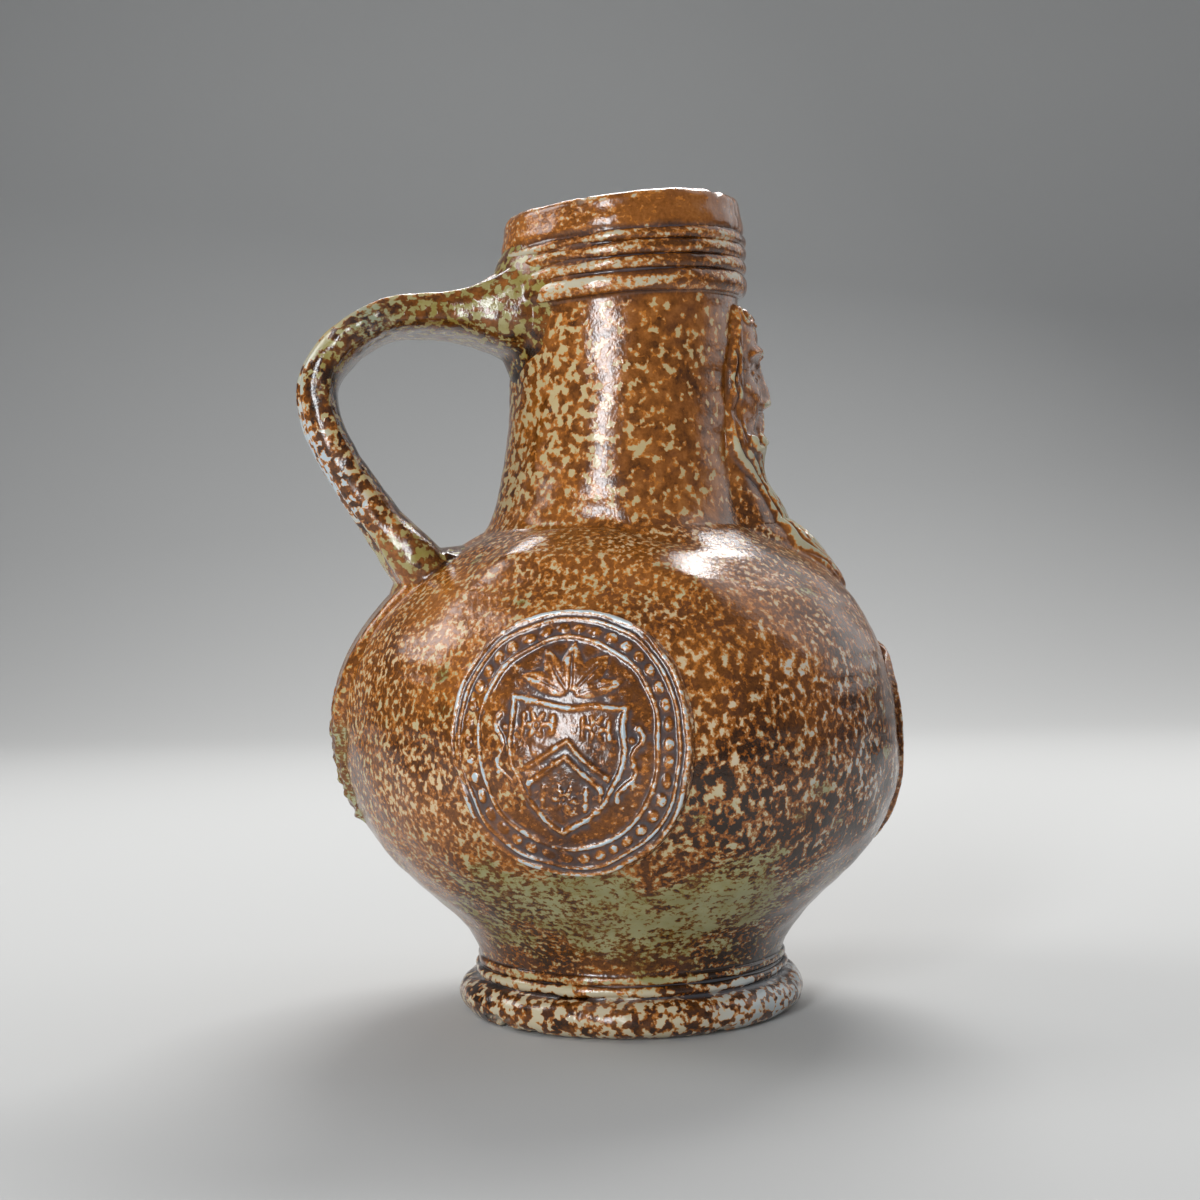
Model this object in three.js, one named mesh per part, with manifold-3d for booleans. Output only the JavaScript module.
// Salt-glazed stoneware jug with a bearded mask, three oval medallions and a strap handle.
// Millimetres, +Z up. The origin is the middle of the flat base.
// The mask faces +X and the handle stands out towards -X.

import * as THREE from "three";
import { mergeVertices } from "three/addons/utils/BufferGeometryUtils.js";
import Module from "manifold-3d";

// Thrown body: foot
const FOOT_DIAMETER = 92.8;
const FOOT_ROLL_WIDTH = 6;
const FOOT_ROLL_HEIGHT = 10;
const FOOT_CORDON_HEIGHT = 3;
const FOOT_CORDON_RELIEF = 1.5;
const FOOT_BEAD_HEIGHT = 2.4;
const WAIST_INSET = 5.6;
const WAIST_DIAMETER = FOOT_DIAMETER - 2 * WAIST_INSET;
const WAIST_Z = FOOT_ROLL_HEIGHT + FOOT_CORDON_HEIGHT + FOOT_BEAD_HEIGHT;
const FOOT_CORDON_DIAMETER = WAIST_DIAMETER + 2 * FOOT_CORDON_RELIEF;

// Thrown body: belly, shoulder and neck
const BELLY_DIAMETER = 148;
const BELLY_Z = 71;
const NECK_DIAMETER = 64.8;
const NECK_TAPER = 3.6;
const NECK_TOP_DIAMETER = NECK_DIAMETER - NECK_TAPER;
const SHOULDER_END_Z = 127.6;
const SHOULDER_FILLET_RUN = 3.8;
const SHOULDER_FILLET_RISE = 14.4;
const SHOULDER_END_DIAMETER = NECK_DIAMETER + 2 * SHOULDER_FILLET_RUN;
const NECK_BASE_Z = SHOULDER_END_Z + SHOULDER_FILLET_RISE;

// Thrown body: collar and mouth
const COLLAR_Z = 187;
const CORDON_OVERHANG = 2.5;
const CORDON_DIAMETER = NECK_TOP_DIAMETER + 2 * CORDON_OVERHANG;
const CORDON_GROOVE_DEPTH = 1.4;
const CORDON_HEIGHTS = [5.5, 3.7, 3.8, 2.9];
const RIM_INSET = 1;
const RIM_DIAMETER = CORDON_DIAMETER - 2 * RIM_INSET;
const RIM_TAPER = 0.7;
const RIM_HEIGHT = 10.4;
const RIM_WALL = 5.6;
const MOUTH_DIAMETER = RIM_DIAMETER - 2 * RIM_WALL;

// Thrown body: clay thickness
const WALL = 5.4;
const FLOOR = 9.5;
const FOOT_WALL = 17.4;
const FLOOR_DIAMETER = FOOT_DIAMETER - 2 * FOOT_WALL;

// How the soft jug settled: belly back, front shoulder full, collar forward, rim up at the front
const BELLY_SET_BACK = 3;
const FRONT_SWELL = 2;
const FRONT_SWELL_SPAN = 13;
const FRONT_SWELL_Z = THREE.MathUtils.lerp(BELLY_Z, SHOULDER_END_Z, 0.58);
const COLLAR_SET_FORWARD = 1.2;
const RIM_TILT = THREE.MathUtils.degToRad(4.2);

// Handle
const HANDLE_STAND_OFF = 51.8;
const HANDLE_ABOVE_COLLAR = 1;
const HANDLE_BEND_DROP = 21;
const HANDLE_BELOW_SHOULDER = 10.6;
const HANDLE_REACH = NECK_TOP_DIAMETER / 2 + HANDLE_STAND_OFF;
const HANDLE_TOP_Z = COLLAR_Z + HANDLE_ABOVE_COLLAR;
const HANDLE_BEND_Z = HANDLE_TOP_Z - HANDLE_BEND_DROP;
const HANDLE_FOOT_Z = SHOULDER_END_Z - HANDLE_BELOW_SHOULDER;
const HANDLE_THICKNESS = 10.8;
const HANDLE_WIDTH = 28;
const HANDLE_ROOT_HEIGHT = 30;
const HANDLE_ROOT_WIDTH = 36;
const HANDLE_FOOT_THICKNESS = 15;
const HANDLE_FOOT_WIDTH = 35;
const HANDLE_ARM = 28;
const HANDLE_GROOVES = 3;
const HANDLE_GROOVE_DEPTH = 0.8;
const TAIL_BELOW_BELLY = 21;
const TAIL_END_Z = BELLY_Z - TAIL_BELOW_BELLY;
const TAIL_WIDTH = 34;
const TAIL_END_WIDTH = 6;
const TAIL_TOP_THICKNESS = 1.2;
const TAIL_THICKNESS = 3.2;

// Mask
const MASK_BELOW_COLLAR = 2;
const CHIN_ABOVE_NECK_BASE = 4;
const BEARD_BELOW_SHOULDER = 18.1;
const MASK_TOP_Z = COLLAR_Z - MASK_BELOW_COLLAR;
const MASK_CHIN_Z = NECK_BASE_Z + CHIN_ABOVE_NECK_BASE;
const BEARD_END_Z = SHOULDER_END_Z - BEARD_BELOW_SHOULDER;
const MASK_WIDTH = 42;
const BEARD_WIDTH = 46;
const MASK_THICKNESS = 1.8;
const MASK_RELIEF = 4.2;
const NOSE_RELIEF = 3.6;
const BROW_RELIEF = 1.2;
const EYE_SPACING = 12.4;
const EYE_RELIEF = 1;
const MOUSTACHE_RELIEF = 1.4;
const BEARD_HANG = 8;
const BEARD_HANG_SPAN = 8.5;
const CURL_RELIEF = 0.7;
const CURL_PITCH = 5.2;

// Medallions
const MEDALLION_WIDTH = 61;
const MEDALLION_HEIGHT = 68.6;
const MEDALLION_ABOVE_BELLY = 5;
const MEDALLION_Z = BELLY_Z + MEDALLION_ABOVE_BELLY;
const FRONT_MEDALLION_SHARE = 0.88;
const FRONT_MEDALLION_BELOW_BELLY = 3;
const FRONT_MEDALLION_Z = BELLY_Z - FRONT_MEDALLION_BELOW_BELLY;
const MEDALLION_THICKNESS = 1.3;
const MEDALLION_RIM = 0.7;
const MEDALLION_BAND = 10;
const SHIELD_WIDTH = 26.7;
const SHIELD_HEIGHT = 30;
const SHIELD_TOP = 9.5;
const SHIELD_RELIEF = 0.5;
const MEDALLION_ANGLE = THREE.MathUtils.degToRad(109.5);

// Clay joints: the open seam between a luted piece and the pot
const SEAM = 0.3;

// Facets
const TURNS = 40;
const STRAP_STEPS = 34;
const STRAP_TURNS = 28;
const SPRIG_STEPS = 22;
const MASK_COLUMNS = 24;
const MASK_ROWS = 44;

const wasm = await Module();
wasm.setup();

const { clamp, lerp, smoothstep } = THREE.MathUtils;
const point = (r, z) => new THREE.Vector2(r, z);
const bezier = (a, b, c, d) => new THREE.CubicBezierCurve(a, b, c, d);
const bead = (r, low, height, bulge) =>
  new THREE.EllipseCurve(r, low + height / 2, bulge, height / 2, -Math.PI / 2, Math.PI / 2);

// Outline of the pot from the waist to the collar, radius against height
const waist = point(WAIST_DIAMETER / 2, WAIST_Z);
const belly = point(BELLY_DIAMETER / 2, BELLY_Z);
const shoulder = point(SHOULDER_END_DIAMETER / 2, SHOULDER_END_Z);
const neck = point(NECK_DIAMETER / 2, NECK_BASE_Z);
const neckTop = point(NECK_TOP_DIAMETER / 2, COLLAR_Z);
const bellyRise = belly.y - waist.y;
const shoulderRise = shoulder.y - belly.y;
const shoulderRun = belly.x - shoulder.x;
const filletRise = neck.y - shoulder.y;
const lowerBelly = bezier(
  waist,
  point(waist.x + 0.14 * (belly.x - waist.x), waist.y + 0.29 * bellyRise),
  point(belly.x, belly.y - 0.585 * bellyRise),
  belly,
);
const upperBelly = bezier(
  belly,
  point(belly.x, belly.y + 0.46 * shoulderRise),
  point(shoulder.x + 0.75 * shoulderRun, shoulder.y - 0.275 * shoulderRise),
  shoulder,
);
const fillet = bezier(
  shoulder,
  point(lerp(shoulder.x, neck.x, 0.37), shoulder.y + 0.13 * filletRise),
  point(lerp(shoulder.x, neck.x, 0.85), shoulder.y + 0.45 * filletRise),
  neck,
);
const neckLine = new THREE.QuadraticBezierCurve(
  neck,
  point(Math.min(neck.x, neckTop.x) - 0.6, lerp(neck.y, neckTop.y, 0.5)),
  neckTop,
);
const skin = new THREE.CurvePath();
skin.curves.push(lowerBelly, upperBelly, fillet, neckLine);
const skinLength = skin.getLength();

// Distance along that outline at a height
function skinAt(z) {
  let low = 0;
  let high = 1;
  for (let i = 0; i < 40; i++) {
    const middle = (low + high) / 2;
    if (skin.getPoint(middle).y < z) low = middle;
    else high = middle;
  }
  return low * skinLength;
}

// A place on the pot: angle round it, distance along the outline, height above the clay
function onPot(angle, along, lift) {
  const t = clamp(along / skinLength, 0, 1);
  const at = skin.getPoint(t);
  const way = skin.getTangent(t);
  const r = at.x + lift * way.y;
  return new THREE.Vector3(r * Math.cos(angle), r * Math.sin(angle), at.y - lift * way.x);
}

// Outer outline of the whole pot, from the middle of the base to the rim
function outerOutline() {
  const footRadius = FOOT_DIAMETER / 2;
  const roll = new THREE.EllipseCurve(
    footRadius - FOOT_ROLL_WIDTH, FOOT_ROLL_HEIGHT / 2,
    FOOT_ROLL_WIDTH, FOOT_ROLL_HEIGHT / 2,
    -Math.PI / 2, Math.PI / 3,
  );
  const beadLow = WAIST_Z - FOOT_BEAD_HEIGHT;
  const cordonLow = beadLow - FOOT_CORDON_HEIGHT;
  const cordonRadius = FOOT_CORDON_DIAMETER / 2;
  const out = [point(0, 0)];
  out.push(...roll.getPoints(7));
  out.push(...bead(waist.x, cordonLow, FOOT_CORDON_HEIGHT, cordonRadius - waist.x).getPoints(4));
  const footBead = bead(waist.x, beadLow, FOOT_BEAD_HEIGHT, (cordonRadius - waist.x) / 2);
  out.push(...footBead.getPoints(3).slice(1, 3));
  out.push(...lowerBelly.getPoints(9));
  out.push(...upperBelly.getPoints(10).slice(1));
  out.push(...fillet.getPoints(6).slice(1));
  out.push(...neckLine.getPoints(4).slice(1));
  let low = COLLAR_Z;
  const groove = CORDON_DIAMETER / 2 - CORDON_GROOVE_DEPTH;
  for (const height of CORDON_HEIGHTS) {
    out.push(...bead(groove, low, height, CORDON_GROOVE_DEPTH).getPoints(4).slice(0, 4));
    low += height;
  }
  const rimRadius = RIM_DIAMETER / 2;
  const lip = (rimRadius - RIM_TAPER - MOUTH_DIAMETER / 2) / 2;
  out.push(point(groove, low), point(rimRadius, low + CORDON_GROOVE_DEPTH));
  const lipArc = new THREE.EllipseCurve(
    rimRadius - RIM_TAPER - lip, low + RIM_HEIGHT - lip,
    lip, lip, 0, Math.PI,
  );
  out.push(...lipArc.getPoints(6));
  return out;
}

// Inner outline, from the mouth down to the middle of the floor
function innerOutline() {
  const out = [];
  const inset = (curve, t) => {
    const at = curve.getPoint(t);
    const way = curve.getTangent(t);
    return point(at.x - WALL * way.y, at.y + WALL * way.x);
  };
  out.push(point(Math.min(MOUTH_DIAMETER / 2, neckTop.x - WALL), COLLAR_Z));
  for (const t of [0.66, 0.33]) out.push(inset(neckLine, t));
  for (const t of [1, 0.7, 0.4, 0.1]) out.push(inset(fillet, t));
  for (const t of [0.9, 0.78, 0.65, 0.5, 0.33, 0.17, 0]) out.push(inset(upperBelly, t));
  for (const t of [0.84, 0.68, 0.5, 0.3]) out.push(inset(lowerBelly, t));
  out.push(point(FLOOR_DIAMETER / 2, FLOOR + 1), point(FLOOR_DIAMETER / 2 - 4, FLOOR), point(0, FLOOR));
  return out;
}

// A profile turned about the upright axis
function turned(profile) {
  const geometry = new THREE.LatheGeometry(profile, TURNS);
  geometry.rotateX(Math.PI / 2);
  return geometry;
}

// The outline moved outwards by a distance, with its corners kept square
function grown(profile, distance) {
  const path = profile.filter((at, i) => i === 0 || at.distanceTo(profile[i - 1]) > 1e-6);
  const normal = (from, to) => point(to.y - from.y, from.x - to.x).normalize();
  return path.map((at, i) => {
    const before = i > 0 ? normal(path[i - 1], at) : point(0, -1);
    const after = i < path.length - 1 ? normal(at, path[i + 1]) : before;
    const reach = distance / Math.max(1 + before.dot(after), 0.4);
    return point(Math.max(at.x + reach * (before.x + after.x), 0), at.y + reach * (before.y + after.y));
  });
}

// Closed thin piece on the pot: place gives where a grid cell lies, relief its height above the seam,
// and hang how far its face then stands out level from the pot
function sprig(columns, rows, angle, place, relief, hang = () => 0) {
  const verts = [];
  const faces = [];
  const wide = columns + 1;
  const count = wide * (rows + 1);
  for (const front of [true, false]) {
    for (let j = 0; j <= rows; j++) {
      for (let i = 0; i <= columns; i++) {
        const a = (2 * i) / columns - 1;
        const b = (2 * j) / rows - 1;
        const [across, along] = place(a, b);
        const r = skin.getPoint(clamp(along / skinLength, 0, 1)).x;
        const lift = front ? SEAM + relief(a, b) : SEAM;
        const turn = angle + across / r;
        const at = onPot(turn, along, lift);
        const stand = front ? hang(a, at.z) : 0;
        verts.push(at.x + stand * Math.cos(turn), at.y + stand * Math.sin(turn), at.z);
      }
    }
  }
  const quad = (a, b, c, d) => faces.push(a, b, c, a, c, d);
  for (let j = 0; j < rows; j++) {
    for (let i = 0; i < columns; i++) {
      const a = j * wide + i;
      quad(a, a + 1, a + wide + 1, a + wide);
      quad(count + a, count + a + wide, count + a + wide + 1, count + a + 1);
    }
  }
  for (let i = 0; i < columns; i++) {
    const top = rows * wide + i;
    quad(i + 1, i, count + i, count + i + 1);
    quad(top, top + 1, count + top + 1, count + top);
  }
  for (let j = 0; j < rows; j++) {
    const left = j * wide;
    const right = left + columns;
    quad(left, left + wide, count + left + wide, count + left);
    quad(right + wide, right, count + right, count + right + wide);
  }
  const geometry = new THREE.BufferGeometry();
  geometry.setAttribute("position", new THREE.Float32BufferAttribute(verts, 3));
  geometry.setIndex(faces);
  return geometry;
}

// Square grid drawn into a disc
const disc = (a, b) => [a * Math.sqrt(1 - (b * b) / 2), b * Math.sqrt(1 - (a * a) / 2)];

// Oval medallion: raised rim, a band, and a shield on the field
function medallion(angle, z, share) {
  const middle = skinAt(z);
  const bandFrom = 1 - (2 * MEDALLION_BAND) / MEDALLION_WIDTH;
  const place = (a, b) => {
    const [x, y] = disc(a, b);
    return [(share * x * MEDALLION_WIDTH) / 2, middle + (share * y * MEDALLION_HEIGHT) / 2];
  };
  const relief = (a, b) => {
    const [x, y] = disc(a, b);
    const from = Math.hypot(x, y);
    const rim = MEDALLION_RIM * Math.exp(-(((from - 0.88) / 0.07) ** 2));
    const band = 0.5 * MEDALLION_RIM * Math.exp(-(((from - bandFrom) / 0.06) ** 2));
    const down = SHIELD_TOP - (y * MEDALLION_HEIGHT) / 2;
    const taper = Math.sqrt(clamp((SHIELD_HEIGHT - down) / (0.6 * SHIELD_HEIGHT), 0, 1));
    const inside = Math.min((SHIELD_WIDTH / 2) * taper - Math.abs((x * MEDALLION_WIDTH) / 2), down);
    const shield = SHIELD_RELIEF * smoothstep(inside, -0.5, 1.5);
    return MEDALLION_THICKNESS * (1 - 0.6 * smoothstep(from, 0.9, 1)) + rim + band + shield;
  };
  return sprig(SPRIG_STEPS, SPRIG_STEPS, angle, place, relief);
}

// Bearded mask: domed face with brow, nose and moustache over a waved beard
function mask() {
  const foot = skinAt(BEARD_END_Z);
  const chin = skinAt(MASK_CHIN_Z);
  const crown = skinAt(MASK_TOP_Z);
  const outline = new THREE.SplineCurve([
    point(0.1 * BEARD_WIDTH, foot),
    point(0.27 * BEARD_WIDTH, lerp(foot, chin, 0.06)),
    point(0.4 * BEARD_WIDTH, lerp(foot, chin, 0.22)),
    point(0.49 * BEARD_WIDTH, lerp(foot, chin, 0.55)),
    point(0.5 * MASK_WIDTH, chin),
    point(0.5 * MASK_WIDTH, lerp(chin, crown, 0.55)),
    point(0.35 * MASK_WIDTH, crown),
  ]);
  const place = (a, b) => {
    const edge = outline.getPoint((b + 1) / 2);
    return [a * edge.x, edge.y];
  };
  const relief = (a, b) => {
    const [across, along] = place(a, b);
    const wide = Math.abs(across);
    const up = (along - chin) / (crown - chin);
    const edge = 1 - smoothstep(Math.max(Math.abs(a), Math.abs(b)), 0.8, 1);
    const face = smoothstep(up, -0.25, 0.15) * (1 - smoothstep(up, 0.75, 1.05));
    const dome = MASK_RELIEF * face * Math.cos((a * Math.PI) / 2) ** 0.7;
    const ridge = smoothstep(up, 0.26, 0.34) * (1 - smoothstep(up, 0.3, 0.68));
    const nose = NOSE_RELIEF * ridge * Math.exp(-((across / 3.4) ** 2));
    const brow = BROW_RELIEF * Math.exp(-(((up - 0.66) / 0.05) ** 2)) * Math.exp(-((across / 11) ** 2));
    const aside = wide - EYE_SPACING / 2;
    const socket = Math.exp(-((aside / 3.6) ** 2) - ((up - 0.54) / 0.07) ** 2);
    const eyeball = Math.exp(-((aside / 2.6) ** 2) - ((up - 0.53) / 0.035) ** 2);
    const eyes = EYE_RELIEF * (0.9 * eyeball - socket);
    const lock = Math.exp(-(((up - 0.29 + 0.024 * wide) / 0.05) ** 2)) * (1 - smoothstep(wide, 9, 13));
    const moustache = MOUSTACHE_RELIEF * lock * (1 - Math.exp(-((across / 1.5) ** 2)));
    const strands = Math.cos((2 * Math.PI * across) / CURL_PITCH + Math.sin(up * 14));
    const curls = CURL_RELIEF * (1 - smoothstep(up, 0, 0.2)) * strands * edge;
    const features = (dome + nose + brow + eyes + moustache) * edge;
    return MASK_THICKNESS * (0.4 + 0.6 * edge) + features + curls;
  };
  const hang = (a, z) => {
    const rise = (z - SHOULDER_END_Z - 1.4) / BEARD_HANG_SPAN;
    return BEARD_HANG * Math.exp(-(rise ** 2)) * (1 - a * a);
  };
  return sprig(MASK_COLUMNS, MASK_ROWS, 0, place, relief, hang);
}

// Strap of the handle: a rounded section swept from inside the neck to inside the shoulder
function strap() {
  const flat = (x, z) => new THREE.Vector3(-x, 0, z);
  const rootRadius = neckTop.x;
  const footRadius = skin.getPoint(skinAt(HANDLE_FOOT_Z) / skinLength).x;
  const arm = flat(rootRadius + HANDLE_ARM, HANDLE_TOP_Z - 1);
  const bend = flat(HANDLE_REACH, HANDLE_BEND_Z);
  const foot = flat(footRadius - 0.5, HANDLE_FOOT_Z);
  const drop = bend.z - foot.z;
  const path = new THREE.CurvePath();
  path.add(new THREE.LineCurve3(flat(rootRadius - WALL / 2, HANDLE_TOP_Z), arm));
  path.add(new THREE.CubicBezierCurve3(
    arm,
    flat(lerp(-arm.x, HANDLE_REACH, 0.5), arm.z - 1),
    flat(HANDLE_REACH, lerp(bend.z, arm.z, 0.42)),
    bend,
  ));
  path.add(new THREE.CubicBezierCurve3(
    bend,
    flat(HANDLE_REACH, bend.z - 0.34 * drop),
    flat(lerp(-foot.x, HANDLE_REACH, 0.5), foot.z + 0.36 * drop),
    foot,
  ));
  const entry = path.curves[2].getTangent(1).multiplyScalar(WALL);
  path.add(new THREE.LineCurve3(foot, foot.clone().add(entry)));
  const steps = STRAP_STEPS;
  const around = STRAP_TURNS;
  const verts = [];
  const faces = [];
  const total = path.getLength();
  const armLength = path.curves[0].getLength();
  for (let j = 0; j <= steps; j++) {
    const at = path.getPoint(j / steps);
    const way = path.getTangent(j / steps);
    const out = new THREE.Vector3(way.z, 0, -way.x);
    const run = (j / steps) * total;
    const root = (1 - smoothstep(run, -WALL, armLength)) ** 1.8;
    const tread = smoothstep(run, total - 28, total - WALL) ** 1.5;
    const flare = (plain, top, bottom) => plain + (top - plain) * root + (bottom - plain) * tread;
    const half = flare(HANDLE_THICKNESS, HANDLE_ROOT_HEIGHT, HANDLE_FOOT_THICKNESS) / 2;
    const side = flare(HANDLE_WIDTH, HANDLE_ROOT_WIDTH, HANDLE_FOOT_WIDTH) / 2;
    for (let i = 0; i < around; i++) {
      const turn = (2 * Math.PI * i) / around;
      const squared = (v) => Math.sign(v) * Math.abs(v) ** 0.7;
      const across = squared(Math.sin(turn));
      const ripple = (1 + Math.cos(across * Math.PI * (HANDLE_GROOVES + 1))) / 2;
      const face = smoothstep(Math.cos(turn), 0.2, 0.6) * (1 - root) * (1 - tread);
      const reach = half * squared(Math.cos(turn)) - HANDLE_GROOVE_DEPTH * ripple * face;
      const edge = at.clone().addScaledVector(out, reach);
      verts.push(edge.x, side * across, edge.z);
    }
  }
  for (let j = 0; j < steps; j++) {
    for (let i = 0; i < around; i++) {
      const a = j * around + i;
      const b = j * around + ((i + 1) % around);
      faces.push(a, b, b + around, a, b + around, a + around);
    }
  }
  const last = steps * around;
  for (let i = 1; i < around - 1; i++) {
    faces.push(0, i + 1, i);
    faces.push(last, last + i, last + i + 1);
  }
  const geometry = new THREE.BufferGeometry();
  geometry.setAttribute("position", new THREE.Float32BufferAttribute(verts, 3));
  geometry.setIndex(faces);
  return geometry;
}

// Tail of the handle: a tongue of clay pressed down the back of the belly
function tail() {
  const top = skinAt(HANDLE_FOOT_Z + 4);
  const end = skinAt(TAIL_END_Z);
  const place = (a, b) => {
    const up = (b + 1) / 2;
    const half = lerp(TAIL_END_WIDTH, TAIL_WIDTH, smoothstep(up, -0.15, 0.75)) / 2;
    return [a * half, lerp(end, top, up)];
  };
  const relief = (a, b) => {
    const edge = 1 - 0.6 * smoothstep(Math.abs(a), 0.55, 1);
    const tip = lerp(0.3, 1, smoothstep(b, -1, -0.2));
    return lerp(TAIL_THICKNESS, TAIL_TOP_THICKNESS, smoothstep(b, -0.3, 0.5)) * edge * tip;
  };
  return sprig(8, 16, Math.PI, place, relief);
}

// Solid bodies for joining and cutting
function solid(geometry) {
  const plain = geometry.clone();
  plain.deleteAttribute("normal");
  plain.deleteAttribute("uv");
  const merged = mergeVertices(plain, 1e-4);
  return new wasm.Manifold(new wasm.Mesh({
    numProp: 3,
    vertProperties: new Float32Array(merged.attributes.position.array),
    triVerts: new Uint32Array(merged.index.array),
  }));
}

function unsolid(body) {
  const mesh = body.getMesh();
  const geometry = new THREE.BufferGeometry();
  geometry.setAttribute("position", new THREE.BufferAttribute(mesh.vertProperties, 3));
  geometry.setIndex(new THREE.BufferAttribute(mesh.triVerts, 1));
  return geometry;
}

// Settling of the soft jug, the same for every piece; the base stays flat
function settle(geometry) {
  const places = geometry.attributes.position;
  const top = COLLAR_Z + RIM_HEIGHT;
  const reach = CORDON_DIAMETER / 2;
  for (let i = 0; i < places.count; i++) {
    const x = places.getX(i);
    const y = places.getY(i);
    const z = places.getZ(i);
    const front = Math.max(x, 0) / Math.max(Math.hypot(x, y), 1e-6);
    const full = FRONT_SWELL * front ** 2 * Math.exp(-(((z - FRONT_SWELL_Z) / FRONT_SWELL_SPAN) ** 2));
    const swell = Math.sin(Math.PI * clamp((z - WAIST_Z) / (COLLAR_Z - WAIST_Z), 0, 1)) ** 2;
    const shift = (COLLAR_SET_FORWARD * z) / top - BELLY_SET_BACK * swell + full;
    const tilt = Math.tan(RIM_TILT) * smoothstep(z, SHOULDER_END_Z, COLLAR_Z);
    places.setX(i, x + shift);
    places.setZ(i, z + tilt * clamp(x, -reach, reach));
  }
  geometry.computeVertexNormals();
  return geometry;
}

const jug = new THREE.Group();
jug.name = "stoneware_jug";
function place(name, geometry, colour, roughness) {
  const material = new THREE.MeshStandardMaterial({ color: colour, roughness, metalness: 0 });
  const mesh = new THREE.Mesh(settle(geometry), material);
  mesh.name = name;
  jug.add(mesh);
}

const outer = outerOutline();
const envelope = solid(turned([...grown(outer, SEAM), point(0, outer[outer.length - 1].y)]));
const handle = solid(strap()).subtract(envelope).add(solid(tail()));

place("thrown_body", turned([...outer, ...innerOutline()]), 0x7a5638, 0.3);
place("handle", unsolid(handle), 0x85684a, 0.32);
place("face_mask", mask(), 0x80583a, 0.32);
place("medallion_front", medallion(0, FRONT_MEDALLION_Z, FRONT_MEDALLION_SHARE), 0x8a6a4c, 0.3);
place("medallion_left", medallion(MEDALLION_ANGLE, MEDALLION_Z, 1), 0x8a6a4c, 0.3);
place("medallion_right", medallion(-MEDALLION_ANGLE, MEDALLION_Z, 1), 0x8a6a4c, 0.3);

export default jug;
